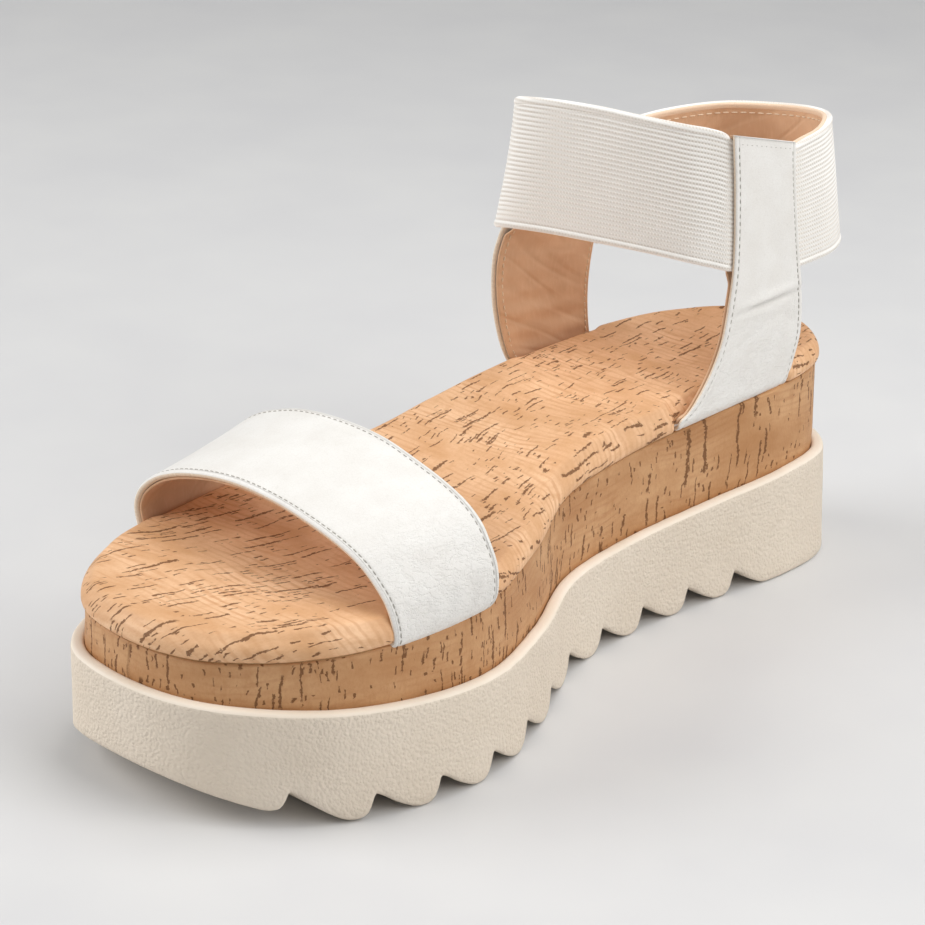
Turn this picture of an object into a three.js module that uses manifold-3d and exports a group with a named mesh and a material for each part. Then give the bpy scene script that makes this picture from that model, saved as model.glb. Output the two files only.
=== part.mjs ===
// A right-foot wedge sandal: a lugged platform outsole, a cork-wrapped wedge with a cork
// footbed, one leather toe strap, and an elastic ankle collar on two leather side straps.
//
// Millimetres, +Z up. Y runs along the sole, toe at -Y and heel at +Y. +X is the arch side.
// Everything is drawn in sole coordinates, with the sole centred on Y = 0 and the ground at
// Z = 0. The whole group is then moved so that its box is centred over the origin.
import * as THREE from 'three';
import { mergeVertices } from 'three/addons/utils/BufferGeometryUtils.js';
import Module from 'manifold-3d';

const wasm = await Module();
wasm.setup();

// ---- Driving dimensions ------------------------------------------------------------------
const SOLE_LENGTH = 270;
const SOLE_HALF = SOLE_LENGTH / 2;
const GAP = 0.3; // clearance between pieces that touch
const OUTLINE_SEGMENTS = 112;

// Sole outline seen from above, once round from the toe tip by the arch side.
const OUTLINE_POINTS = [
  [1, -135], [21, -131.5], [36, -122], [50.5, -105], [59.3, -80], [60, -55], [49, -25],
  [33.5, 5], [29.2, 35], [30.5, 70], [32.6, 100], [28.7, 120], [17, 131.2],
  [3, 135], [-12, 130.4], [-24.8, 119], [-34.6, 101], [-41.2, 73], [-42.8, 42], [-41.3, 14],
  [-39.4, -12], [-41.6, -34], [-45.4, -57], [-45.2, -80], [-41.6, -105], [-32.5, -122],
  [-20.5, -131.5],
];

// Outsole: a cup with cross lugs below and a lip round the wedge above.
const LIP_WIDTH = 4;
const OUTSOLE_FLOOR = 18; // height of the wedge's seat, lugs included
const WALL_TOP_ROUND = 1.2;
const LUG_PITCH = 19.26;
const LUG_DEPTH = 6.9;
const LUG_FIRST_NOTCH = -114.5;
const LUG_COUNT = 10; // lugs between the 11 notches
// One lug from a notch towards the heel: [share of the pitch, share of the depth].
const LUG_PROFILE = [
  [0.05, 0.96], [0.17, 0.78], [0.32, 0.46], [0.48, 0.2], [0.66, 0], [0.8, 0.02], [0.9, 0.22],
  [0.955, 0.62],
];
const HEEL_PAD_PROFILE = LUG_PROFILE.slice(0, 5);
const TOE_PAD_PROFILE = LUG_PROFILE.slice(5);
const TOE_SPRING_START = -92;
const TOE_SPRING_RISE = 12.4;
const HEEL_BEVEL = 1.5;

// Wedge: a foam core with a thin cork wrap, an insole board and a steel shank on top.
const WRAP_THICKNESS = 1;
const BOARD_THICKNESS = 1.4;
const SHANK_WIDTH = 12;
const SHANK_THICKNESS = 1.2;
const SHANK_FROM = -20;
const SHANK_TO = 85;
const SHANK_X = -7;
const RIVET_RADIUS = 2;
const RIVET_LENGTH = 5;

// Footbed: a foam pad inside a cork cover.
const COVER_THICKNESS = 1;
const FOOTBED_HEIGHT = 6.6;
const FOOTBED_SHOULDER = 3.4; // height where its edge starts to round over
const STRAP_ROOM = 3.8; // how far the footbed steps in behind the straps
const ROOM_MARGIN = 3; // how far that step runs past a strap's edges

// Straps.
const LEATHER = 1.3;
const LINING = 0.9;
const ELASTIC = 1.7;
const TAB_DEPTH = 18; // how far a strap end runs under the footbed
const TAB_INSET = 2.9; // where it meets the strap outside the wedge

// Ankle collar tilt: the axis runs along X.
const HINGE_Y = 76;
const HINGE_Z = 96;
const ARCH_STRAP_RADIUS = 31;
const OUTER_STRAP_RADIUS = 34.5;
const STRAP_FOOT_Z = 60;
const SOCKET_GAP = 0.4;

// ---- Heights along the sole --------------------------------------------------------------
const toeSpring = (y) => {
  const reach = Math.max(0, TOE_SPRING_START - y) / (TOE_SPRING_START + SOLE_HALF);
  return TOE_SPRING_RISE * reach * reach;
};
const heelDip = (y) => 3.1 * (Math.max(0, y - 92) / 43) ** 2;
const rimHeight = (y) => 29.1 + 0.012 * y + 3.6 * (y / 100) ** 2 - heelDip(y);
const seamHeight = (y) => 52.7 + 0.069 * y + 0.49 * (y / 100) ** 2;
const floorHeight = () => OUTSOLE_FLOOR;
const above = (height, offset) => (y) => height(y) + offset;

// ---- Geometry helpers --------------------------------------------------------------------
function signedVolume(points, faces) {
  let volume = 0;
  for (let i = 0; i < faces.length; i += 3) {
    const [a, b, c] = [points[faces[i]], points[faces[i + 1]], points[faces[i + 2]]];
    volume += a[0] * (b[1] * c[2] - b[2] * c[1]) - a[1] * (b[0] * c[2] - b[2] * c[0])
      + a[2] * (b[0] * c[1] - b[1] * c[0]);
  }
  return volume / 6;
}

// A closed mesh from points and triangle corners, turned so that its faces point out.
function closedGeometry(points, faces) {
  const turned = signedVolume(points, faces) < 0;
  const index = turned ? faces.map((_, i) => faces[i - (i % 3) + [0, 2, 1][i % 3]]) : faces;
  const geometry = new THREE.BufferGeometry();
  geometry.setAttribute('position', new THREE.Float32BufferAttribute(points.flat(), 3));
  geometry.setIndex(index);
  return geometry;
}

function toSolid(geometry) {
  const bare = geometry.clone();
  bare.deleteAttribute('normal');
  bare.deleteAttribute('uv');
  const merged = mergeVertices(bare, 1e-4);
  const mesh = new wasm.Mesh({
    numProp: 3,
    vertProperties: Float32Array.from(merged.attributes.position.array),
    triVerts: Uint32Array.from(merged.index.array),
  });
  return new wasm.Manifold(mesh);
}

function fromSolid(solid) {
  const mesh = solid.getMesh();
  const geometry = new THREE.BufferGeometry();
  const position = Float32Array.from(mesh.vertProperties);
  geometry.setAttribute('position', new THREE.BufferAttribute(position, 3));
  geometry.setIndex(Array.from(mesh.triVerts));
  return geometry;
}

const outlineCurve = new THREE.CatmullRomCurve3(
  OUTLINE_POINTS.map(([x, y]) => new THREE.Vector3(x, y, 0)), true, 'centripetal');
const OUTLINE = outlineCurve.getSpacedPoints(OUTLINE_SEGMENTS).slice(0, OUTLINE_SEGMENTS);

// The sole outline moved inwards by a distance, with the same number of points.
function outlineInset(inset) {
  return OUTLINE.map((point, i) => {
    const before = OUTLINE[(i + OUTLINE_SEGMENTS - 1) % OUTLINE_SEGMENTS];
    const after = OUTLINE[(i + 1) % OUTLINE_SEGMENTS];
    const along = after.clone().sub(before).normalize();
    return [point.x - along.y * inset, point.y + along.x * inset];
  });
}

// A solid stacked from rings: each level is an inset outline and a height along the sole.
function stack(levels) {
  const rings = levels.map(({ inset, height }) =>
    outlineInset(inset).map(([x, y]) => [x, y, height(y)]));
  const count = OUTLINE_SEGMENTS;
  const faces = [];
  for (let k = 0; k < rings.length - 1; k += 1) {
    for (let i = 0; i < count; i += 1) {
      const j = (i + 1) % count;
      const [a, b, c, d] = [k * count + i, k * count + j, (k + 1) * count + j, (k + 1) * count + i];
      faces.push(a, b, c, a, c, d);
    }
  }
  const cap = (ring, base, flip) => {
    const contour = ring.map(([x, y]) => new THREE.Vector2(x, y));
    for (const [a, b, c] of THREE.ShapeUtils.triangulateShape(contour, [])) {
      faces.push(base + a, base + (flip ? c : b), base + (flip ? b : c));
    }
  };
  cap(rings[0], 0, true);
  cap(rings[rings.length - 1], (rings.length - 1) * count, false);
  return closedGeometry(rings.flat(), faces);
}

// A plate drawn in the Y-Z plane and extruded along X.
function sidePlate(points, fromX, toX) {
  const shape = new THREE.Shape(points.map(([y, z]) => new THREE.Vector2(y, z)));
  const geometry = new THREE.ExtrudeGeometry(shape, { depth: toX - fromX, bevelEnabled: false });
  const turn = new THREE.Matrix4().makeBasis(
    new THREE.Vector3(0, 1, 0), new THREE.Vector3(0, 0, 1), new THREE.Vector3(1, 0, 0));
  return geometry.applyMatrix4(turn).translate(fromX, 0, 0);
}

// A curved sheet between two edge curves, from depth `from` to depth `to` below its face.
function sheetBetween(edgeA, edgeB, { from, to, along, across, inward }) {
  const points = [];
  const at = (u, v) => edgeA.getPoint(u).lerp(edgeB.getPoint(u), v);
  const step = 1e-3;
  for (const depth of [from, to]) {
    for (let i = 0; i <= along; i += 1) {
      for (let j = 0; j <= across; j += 1) {
        const [u, v] = [i / along, j / across];
        const [u0, u1] = [Math.max(0, u - step), Math.min(1, u + step)];
        const normal = at(u1, v).sub(at(u0, v))
          .cross(edgeB.getPoint(u).sub(edgeA.getPoint(u))).normalize();
        const point = at(u, v).addScaledVector(normal, depth * inward);
        points.push(point.toArray());
      }
    }
  }
  const columns = across + 1;
  const layer = (along + 1) * columns;
  const id = (side, i, j) => side * layer + i * columns + j;
  const faces = [];
  const quad = (a, b, c, d) => faces.push(a, b, c, a, c, d);
  for (let i = 0; i < along; i += 1) {
    for (let j = 0; j < across; j += 1) {
      quad(id(0, i, j), id(0, i, j + 1), id(0, i + 1, j + 1), id(0, i + 1, j));
      quad(id(1, i, j), id(1, i + 1, j), id(1, i + 1, j + 1), id(1, i, j + 1));
    }
    quad(id(0, i, 0), id(0, i + 1, 0), id(1, i + 1, 0), id(1, i, 0));
    quad(id(0, i, across), id(1, i, across), id(1, i + 1, across), id(0, i + 1, across));
  }
  for (let j = 0; j < across; j += 1) {
    quad(id(0, 0, j), id(1, 0, j), id(1, 0, j + 1), id(0, 0, j + 1));
    quad(id(0, along, j), id(0, along, j + 1), id(1, along, j + 1), id(1, along, j));
  }
  return closedGeometry(points, faces);
}

const edgeCurve = (points) => new THREE.CatmullRomCurve3(
  points.map(([x, y, z]) => new THREE.Vector3(x, y, z)), false, 'centripetal');

function box(x0, x1, y0, y1, z0, z1) {
  const geometry = new THREE.BoxGeometry(x1 - x0, y1 - y0, z1 - z0);
  return geometry.translate((x0 + x1) / 2, (y0 + y1) / 2, (z0 + z1) / 2);
}

// ---- The scene ---------------------------------------------------------------------------
const sandal = new THREE.Group();
const finish = (color, roughness, metalness = 0) =>
  new THREE.MeshStandardMaterial({ color, roughness, metalness });
const cream = finish(0xd8cec0, 0.75);
const cork = finish(0xd9ab80, 0.6);
const foam = finish(0xd9c7a8, 0.9);
const board = finish(0xb98f63, 0.85);
const steel = finish(0x9a9da1, 0.35, 1);
const whiteLeather = finish(0xecebe8, 0.45);
const tanLining = finish(0xc29670, 0.7);
const whiteElastic = finish(0xe8e8e6, 0.85);

function add(name, shape, material) {
  const geometry = shape instanceof THREE.BufferGeometry ? shape : fromSolid(shape);
  const mesh = new THREE.Mesh(geometry, material);
  mesh.name = name;
  sandal.add(mesh);
}

// ---- Outsole -----------------------------------------------------------------------------
function lugPoints(notchY, profile) {
  return profile.map(([step, share]) => {
    const y = notchY + LUG_PITCH * step;
    return [y, toeSpring(y) + LUG_DEPTH * share];
  });
}

// Side view of the outsole: lugs and toe spring below, rim above.
function outsoleSideView() {
  const points = [];
  const notch = [[0, 1]];
  for (let y = -SOLE_HALF - 1; y < LUG_FIRST_NOTCH - 5; y += 4) points.push([y, toeSpring(y)]);
  points.push(...lugPoints(LUG_FIRST_NOTCH - LUG_PITCH, TOE_PAD_PROFILE));
  for (let i = 0; i < LUG_COUNT; i += 1) {
    points.push(...lugPoints(LUG_FIRST_NOTCH + LUG_PITCH * i, [...notch, ...LUG_PROFILE]));
  }
  const heelNotch = LUG_FIRST_NOTCH + LUG_PITCH * LUG_COUNT;
  points.push(...lugPoints(heelNotch, [...notch, ...HEEL_PAD_PROFILE]));
  points.push([SOLE_HALF - 4, 0], [SOLE_HALF + 1, HEEL_BEVEL]);
  for (let y = SOLE_HALF + 1; y > -SOLE_HALF - 2; y -= 8) points.push([y, rimHeight(y)]);
  points.push([-SOLE_HALF - 1, rimHeight(-SOLE_HALF - 1)]);
  return points;
}

function buildOutsole() {
  const wall = toSolid(stack([
    { inset: 0, height: () => -1 },
    { inset: 0, height: above(rimHeight, -WALL_TOP_ROUND) },
    { inset: WALL_TOP_ROUND, height: above(rimHeight, 1) },
  ]));
  const sideView = toSolid(sidePlate(outsoleSideView(), -80, 80));
  const recess = toSolid(stack([
    { inset: LIP_WIDTH - GAP, height: floorHeight },
    { inset: LIP_WIDTH - GAP, height: above(rimHeight, 5) },
  ]));
  add('outsole', wall.intersect(sideView).subtract(recess), cream);
}

// ---- Wedge -------------------------------------------------------------------------------
const WEDGE_TOP = above(seamHeight, -BOARD_THICKNESS - 2 * GAP);
const WEDGE_BOTTOM = above(floorHeight, GAP);

const band = (inset, bottom, top) => toSolid(stack([
  { inset, height: bottom }, { inset, height: top },
]));

function shankPlate(grow, below, over) {
  const points = [];
  const [from, to] = [SHANK_FROM - grow, SHANK_TO + grow];
  const steps = 8;
  const yAt = (i) => from + ((to - from) * i) / steps;
  for (let i = 0; i <= steps; i += 1) points.push([yAt(i), WEDGE_TOP(yAt(i)) - below]);
  for (let i = steps; i >= 0; i -= 1) points.push([yAt(i), WEDGE_TOP(yAt(i)) + over]);
  const half = SHANK_WIDTH / 2 + grow;
  return toSolid(sidePlate(points, SHANK_X - half, SHANK_X + half));
}

function rivet(y, radius, length) {
  const geometry = new THREE.CylinderGeometry(radius, radius, length, 16);
  return toSolid(geometry.rotateX(Math.PI / 2).translate(SHANK_X, y, WEDGE_TOP(y) - 1.6));
}

function buildWedge() {
  const wrapOuter = band(LIP_WIDTH, WEDGE_BOTTOM, WEDGE_TOP);
  const wrapInner = band(LIP_WIDTH + WRAP_THICKNESS,
    above(WEDGE_BOTTOM, -2), above(WEDGE_TOP, 2));
  add('wedge_cork_wrap', wrapOuter.subtract(wrapInner), cork);

  const rivets = [['shank_rivet_front', SHANK_FROM + 8], ['shank_rivet_rear', SHANK_TO - 8]];
  let core = band(LIP_WIDTH + WRAP_THICKNESS + GAP, WEDGE_BOTTOM, WEDGE_TOP)
    .subtract(shankPlate(GAP, SHANK_THICKNESS + 2 * GAP, 2));
  let shank = shankPlate(0, SHANK_THICKNESS + GAP, -GAP);
  for (const [name, y] of rivets) {
    const hole = rivet(y, RIVET_RADIUS + GAP, RIVET_LENGTH + 2 * GAP);
    core = core.subtract(hole);
    shank = shank.subtract(hole);
    const head = rivet(y, RIVET_RADIUS, RIVET_LENGTH);
    add(name, head.subtract(band(0, WEDGE_TOP, above(WEDGE_TOP, 9))), steel);
  }
  add('wedge_core', core, foam);
  add('steel_shank', shank, steel);
}

// ---- Footbed -----------------------------------------------------------------------------
// Stretches along the sole where a strap end passes down the outside of the footbed.
const TOE_STRAP_SPAN = [-93, -51];
const ARCH_STRAP_SPAN = [54.5, 103.5];
const OUTER_STRAP_SPAN = [48, 91];

// The room that a strap end takes: from the edge of the sole inwards on one side.
function strapRoom([from, to], side, inset, bottom, top) {
  const slab = toSolid(side > 0 ? box(0, 80, from, to, bottom, top) : box(-80, 0, from, to, bottom, top));
  return slab.subtract(band(inset, () => bottom - 1, () => top + 1));
}

const grown = ([from, to], margin) => [from - margin, to + margin];

const STRAP_ENDS = [
  [TOE_STRAP_SPAN, 1], [TOE_STRAP_SPAN, -1], [ARCH_STRAP_SPAN, 1], [OUTER_STRAP_SPAN, -1],
];

function domed(inset, bottom, shoulder, top) {
  return toSolid(stack([
    { inset, height: bottom },
    { inset, height: above(seamHeight, shoulder) },
    { inset: inset + 1.2, height: above(seamHeight, (shoulder + top) / 2 + 0.4) },
    { inset: inset + 4, height: above(seamHeight, top) },
  ]));
}

function buildFootbed() {
  const edge = LIP_WIDTH + 0.4;
  const bottom = above(seamHeight, 0.1);
  const shell = COVER_THICKNESS;
  let cover = domed(edge, bottom, FOOTBED_SHOULDER, FOOTBED_HEIGHT);
  let pad = domed(edge + shell + GAP, bottom, FOOTBED_SHOULDER - GAP - shell / 2,
    FOOTBED_HEIGHT - shell - GAP);
  let hollow = domed(edge + shell, above(bottom, -3), FOOTBED_SHOULDER - shell / 2,
    FOOTBED_HEIGHT - shell);
  for (const [span, side] of STRAP_ENDS) {
    const room = grown(span, ROOM_MARGIN);
    const wide = grown(room, shell);
    const wider = grown(wide, GAP);
    const inset = LIP_WIDTH + STRAP_ROOM;
    cover = cover.subtract(strapRoom(room, side, inset, 30, 90));
    hollow = hollow.subtract(strapRoom(wide, side, inset + shell, 30, 90));
    pad = pad.subtract(strapRoom(wider, side, inset + shell + GAP, 30, 90));
  }
  add('footbed_cork_cover', cover.subtract(hollow), cork);
  add('footbed_foam', pad, foam);

  let insole = band(edge, above(seamHeight, -BOARD_THICKNESS - GAP + 0.1),
    above(seamHeight, -0.2));
  for (const [span, side] of STRAP_ENDS) {
    insole = insole.subtract(strapRoom(span, side, LIP_WIDTH + TAB_DEPTH + GAP, 30, 90));
  }
  add('insole_board', insole, board);
}

// A strap end folded under the footbed, at the level of the insole board.
function strapTab([from, to], side) {
  const level = band(TAB_INSET, above(seamHeight, -BOARD_THICKNESS - GAP + 0.15),
    above(seamHeight, -0.25));
  return level.intersect(strapRoom([from + GAP, to - GAP], side, LIP_WIDTH + TAB_DEPTH, 30, 90));
}

// ---- Toe strap ---------------------------------------------------------------------------
const TOE_FRONT_EDGE = edgeCurve([
  [53.6, -88.5, 46.6], [53.6, -88.5, 50.5], [50.5, -88.5, 57], [41.5, -88.8, 65.8],
  [23.5, -89.2, 71.6], [0, -89.8, 74.6], [-18, -90.4, 73.2], [-34, -91, 68.2],
  [-41.9, -91.4, 61.5], [-41.6, -91.6, 54], [-40.2, -91.6, 46.2],
]);
const TOE_REAR_EDGE = edgeCurve([
  [57, -57, 48.6], [59.4, -57, 53], [60, -56.9, 60], [54.3, -56.4, 71.6],
  [38, -55.4, 79.2], [13, -54.4, 83.8], [-12, -53.6, 82.6], [-32, -53, 77],
  [-43, -52.8, 69], [-45, -52.8, 59], [-42, -52.8, 48.8],
]);

function buildToeStrap() {
  const shape = { along: 44, across: 3, inward: 1 };
  const leather = sheetBetween(TOE_FRONT_EDGE, TOE_REAR_EDGE, { ...shape, from: 0, to: LEATHER });
  const lining = sheetBetween(TOE_FRONT_EDGE, TOE_REAR_EDGE,
    { ...shape, from: LEATHER + GAP, to: LEATHER + GAP + LINING });
  const aboveSeam = (offset) => band(-40, above(seamHeight, offset), above(seamHeight, 60));
  const joined = toSolid(leather).intersect(aboveSeam(-1.3))
    .add(strapTab(TOE_STRAP_SPAN, 1)).add(strapTab(TOE_STRAP_SPAN, -1));
  add('toe_strap_leather', joined, whiteLeather);
  add('toe_strap_lining', toSolid(lining).intersect(aboveSeam(0.2)), tanLining);
}

// ---- Side straps -------------------------------------------------------------------------
// Each strap is cut along an arc about the tilt axis: the part below is fixed to the sole,
// the part above turns with the collar.
function arcPoints(radius, fromY, toY, steps = 16) {
  const from = Math.asin((fromY - HINGE_Y) / radius);
  const to = Math.asin((toY - HINGE_Y) / radius);
  return Array.from({ length: steps + 1 }, (_, i) => {
    const angle = from + ((to - from) * i) / steps;
    return [HINGE_Y + radius * Math.sin(angle), HINGE_Z - radius * Math.cos(angle)];
  });
}

// face is the outer face's X at the hinge line above the sole's edge. skew and lean are how
// much X grows with Y along the sole and with Z up the strap.
const ARCH_STRAP = {
  name: 'arch_strap',
  side: 1,
  face: 28.8,
  skew: 0.03,
  lean: 0.015,
  span: ARCH_STRAP_SPAN,
  radius: ARCH_STRAP_RADIUS,
  arc: [66.5, 105.3],
  socket: [61.5, 105.6],
  top: [[98.6, 134.6], [70, 143]],
  front: [[70.8, 120], [72, 101], [70.3, 88], [68, 75]],
  rear: [[105, 92], [103.4, 100], [100.8, 118]],
  rootFront: [[57.5, 61]],
  rootRear: [[106, 78], [104, 67]],
};
const OUTER_STRAP = {
  name: 'outer_strap',
  side: -1,
  face: -38.4,
  skew: 0.11,
  lean: 0.07,
  span: OUTER_STRAP_SPAN,
  radius: OUTER_STRAP_RADIUS,
  arc: [43.2, 88],
  socket: [43.2, 88],
  top: [[87, 133.6], [46.8, 146.4]],
  front: [[45.3, 125], [42.8, 105], [42.4, 93]],
  rear: [[88.2, 90], [88.6, 105]],
  rootFront: [[43.8, 80], [47, 68]],
  rootRear: [],
};

function buildSideStrap(strap) {
  const { name, side, face, skew, lean, span, radius, arc, socket } = strap;
  const slant = new THREE.Matrix4().makeShear(0, 0, skew, 0, lean, 0);
  const turning = [...arcPoints(radius, arc[0], arc[1]), ...strap.rear, ...strap.top,
    ...strap.front];
  const rootTop = arcPoints(radius + SOCKET_GAP, socket[0], socket[1]).reverse();
  const [from, to] = [span[0] + 1, span[1] - 1];
  const rootShape = (offset) => [[from, seamHeight(from) + offset], [to, seamHeight(to) + offset],
    ...[...strap.rootRear].reverse(), ...rootTop, ...[...strap.rootFront]];
  const plate = (points, near, far) => {
    const [a, b] = [face - side * near, face - side * far];
    return sidePlate(points, Math.min(a, b), Math.max(a, b))
      .translate(0, -HINGE_Y, -STRAP_FOOT_Z).applyMatrix4(slant)
      .translate(0, HINGE_Y, STRAP_FOOT_Z);
  };
  const liningNear = LEATHER + GAP;
  const liningFar = liningNear + LINING;
  add(`${name}_leather`, plate(turning, 0, LEATHER), whiteLeather);
  add(`${name}_lining`, plate(turning, liningNear, liningFar), tanLining);
  const root = toSolid(plate(rootShape(-1), 0, LEATHER)).add(strapTab(span, side));
  add(`${name}_root_leather`, root, whiteLeather);
  add(`${name}_root_lining`, plate(rootShape(0.2), liningNear, liningFar), tanLining);
}

// ---- Elastic bands -----------------------------------------------------------------------
const FRONT_BAND_TOP = edgeCurve([
  [29.9, 69, 143.6], [29.4, 66, 144.4], [21, 59.6, 146.2], [9, 53.2, 148], [-3, 48.2, 148.9],
  [-15, 44.8, 148.7], [-24.6, 43, 147.4], [-30.6, 43.6, 146.2], [-32.6, 45.9, 145.8],
]);
const FRONT_BAND_BOTTOM = edgeCurve([
  [29.3, 71, 101.3], [28.9, 68, 102.4], [22.5, 62.6, 105], [11, 55, 107.2], [-1, 48.4, 108.6],
  [-14.6, 42.8, 109.6], [-27.4, 38.6, 109.2], [-34.4, 38.9, 108.2], [-36.6, 41.7, 107.6],
]);
const HEEL_BAND_TOP = edgeCurve([
  [30.6, 99.6, 134.6], [30.4, 103, 134.8], [28.4, 115, 135.5], [20.6, 128.2, 135.7],
  [6.6, 137, 134], [-9, 137.6, 132.2], [-23, 129.6, 131.4], [-31, 112, 131.4],
  [-33.4, 92, 132.4], [-33.4, 87.9, 132.8],
]);
const HEEL_BAND_BOTTOM = edgeCurve([
  [30.2, 106, 95.4], [30.4, 109, 95.6], [30.1, 120, 96.2], [22.7, 133.6, 95.6], [7.3, 142, 94.2],
  [-9.8, 142.4, 92.6], [-25, 134, 91.8], [-33.6, 115.4, 91.6], [-35, 94, 91.6], [-35.1, 89.6, 91.8],
]);

function buildBands() {
  const shape = { across: 3, from: 0 };
  add('front_elastic', sheetBetween(FRONT_BAND_BOTTOM, FRONT_BAND_TOP,
    { ...shape, along: 28, to: ELASTIC, inward: 1 }), whiteElastic);
  add('heel_band_elastic', sheetBetween(HEEL_BAND_BOTTOM, HEEL_BAND_TOP,
    { ...shape, along: 36, to: ELASTIC, inward: -1 }), whiteElastic);
  add('heel_band_lining', sheetBetween(HEEL_BAND_BOTTOM, HEEL_BAND_TOP,
    { ...shape, along: 36, from: ELASTIC + GAP, to: ELASTIC + GAP + LINING, inward: -1 }),
  tanLining);
}

buildOutsole();
buildWedge();
buildFootbed();
buildToeStrap();
buildSideStrap(ARCH_STRAP);
buildSideStrap(OUTER_STRAP);
buildBands();

// Centre the whole sandal over the origin, standing on Z = 0.
const bounds = new THREE.Box3().setFromObject(sandal);
const centre = bounds.getCenter(new THREE.Vector3());
sandal.position.set(-centre.x, -centre.y, -bounds.min.z);

export default sandal;
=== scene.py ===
import math
import random

import bpy
import numpy as np
from mathutils import Matrix, Vector


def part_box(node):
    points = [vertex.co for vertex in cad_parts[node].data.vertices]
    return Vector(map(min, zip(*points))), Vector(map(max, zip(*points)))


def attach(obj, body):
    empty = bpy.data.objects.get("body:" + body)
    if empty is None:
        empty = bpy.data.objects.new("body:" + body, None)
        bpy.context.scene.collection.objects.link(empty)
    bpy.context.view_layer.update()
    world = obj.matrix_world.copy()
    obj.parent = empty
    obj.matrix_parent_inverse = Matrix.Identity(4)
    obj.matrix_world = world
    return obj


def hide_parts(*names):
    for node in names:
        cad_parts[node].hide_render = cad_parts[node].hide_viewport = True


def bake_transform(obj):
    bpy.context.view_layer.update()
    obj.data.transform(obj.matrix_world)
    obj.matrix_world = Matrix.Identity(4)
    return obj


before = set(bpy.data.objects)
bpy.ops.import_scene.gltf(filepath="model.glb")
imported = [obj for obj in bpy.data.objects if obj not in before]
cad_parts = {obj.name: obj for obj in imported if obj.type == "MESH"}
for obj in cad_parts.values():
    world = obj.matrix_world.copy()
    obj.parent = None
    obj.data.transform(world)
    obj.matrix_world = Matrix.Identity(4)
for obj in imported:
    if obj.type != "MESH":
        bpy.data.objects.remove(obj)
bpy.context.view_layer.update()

# A right-foot wedge sandal. Shapes are worked out in sole coordinates, in millimetres:
# Y runs along the sole from the toe (-135) to the heel (+135), +X is the arch side, and
# the ground is Z = 0. place() turns them into the frame's metres.

# ---- Dimensions in millimetres ----
HALF_LENGTH = 135
OUTLINE_POINTS = [
    (1, -135), (21, -131.5), (36, -122), (50.5, -105), (59.3, -80), (60, -55), (49, -25),
    (33.5, 5), (29.2, 35), (30.5, 70), (33, 100), (29.4, 120.6), (17.6, 131.8),
    (3, 135), (-12, 130.4), (-24.8, 119), (-34.6, 101), (-41.2, 73), (-42.8, 42), (-41.3, 14),
    (-39.4, -12), (-41.6, -34), (-45.4, -57), (-45.2, -80), (-41.6, -105), (-32.5, -122),
    (-20.5, -131.5),
]
HEEL_POINT = 13  # its place in the list
SIDE_STEPS = 420  # outline points on each side, toe to heel
LIP_WIDTH = 4
FLOOR = 18.3
SEAT = FLOOR - 0.3  # the bottom of the outsole's cup
LUG_PITCH = 19.26
LUG_DEPTH = 6.9
LUG_FIRST_NOTCH = -114.5
LUG_COUNT = 10
TOE_SPRING_START = -92
TOE_SPRING_RISE = 12.4
FOOTBED_HEIGHT = 6.6
HINGE_Y = 76
LEATHER = 1.35
TOE_LEATHER = 1.9
LINING = 0.8
ELASTIC = 1.7
RIB_PITCH = 1.36
WEFT_PITCH = 0.95
STITCH_PITCH = 2.1
STITCH_LINE = 1.75  # distance of the stitches from the strap's edge
STITCH_DEPTH = 0.14


def toe_spring(y):
    reach = np.maximum(0, TOE_SPRING_START - y) / (TOE_SPRING_START + HALF_LENGTH)
    return TOE_SPRING_RISE * reach ** 2


def rim_height(y):
    heel_dip = 3.1 * (np.maximum(0, y - 92) / 43) ** 2
    return 29.1 + 0.012 * y + 3.6 * (y / 100) ** 2 - heel_dip


def seam_height(y):
    return 52.7 + 0.069 * y + 0.49 * (y / 100) ** 2


def smoothstep(low, high, value):
    t = np.clip((value - low) / (high - low), 0, 1)
    return t * t * (3 - 2 * t)


# ---- Curves ----
def dense_spline(points, closed=False, per_span=24):
    """A centripetal Catmull-Rom curve through the points, as many short steps."""
    p = np.array(points, float)
    if closed:
        p = np.vstack([p[-1], p, p[:2]])
    else:
        p = np.vstack([2 * p[0] - p[1], p, 2 * p[-1] - p[-2]])
    steps = np.linspace(0, 1, per_span, endpoint=False)[:, None]
    out = []
    for i in range(1, len(p) - 2):
        a, b, c, d = p[i - 1:i + 3]
        gaps = [max(np.linalg.norm(q - r) ** 0.5, 1e-3) for q, r in ((b, a), (c, b), (d, c))]
        m1 = (b - a) / gaps[0] - (c - a) / (gaps[0] + gaps[1]) + (c - b) / gaps[1]
        m2 = (c - b) / gaps[1] - (d - b) / (gaps[1] + gaps[2]) + (d - c) / gaps[2]
        m1, m2 = m1 * gaps[1], m2 * gaps[1]
        out.append(b + m1 * steps + (3 * (c - b) - 2 * m1 - m2) * steps ** 2
                   + (2 * (b - c) + m1 + m2) * steps ** 3)
    out.append(p[1:2] if closed else p[-2:-1])
    return np.vstack(out)


def resample(curve, count):
    """count points evenly spaced along a curve."""
    length = np.concatenate([[0], np.cumsum(np.linalg.norm(np.diff(curve, axis=0), axis=1))])
    at = np.linspace(0, length[-1], count)
    return np.stack([np.interp(at, length, curve[:, k]) for k in range(curve.shape[1])], axis=1)


def curve_length(curve):
    return float(np.linalg.norm(np.diff(curve, axis=0), axis=1).sum())


def unit(vectors):
    return vectors / np.maximum(np.linalg.norm(vectors, axis=-1, keepdims=True), 1e-9)


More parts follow.
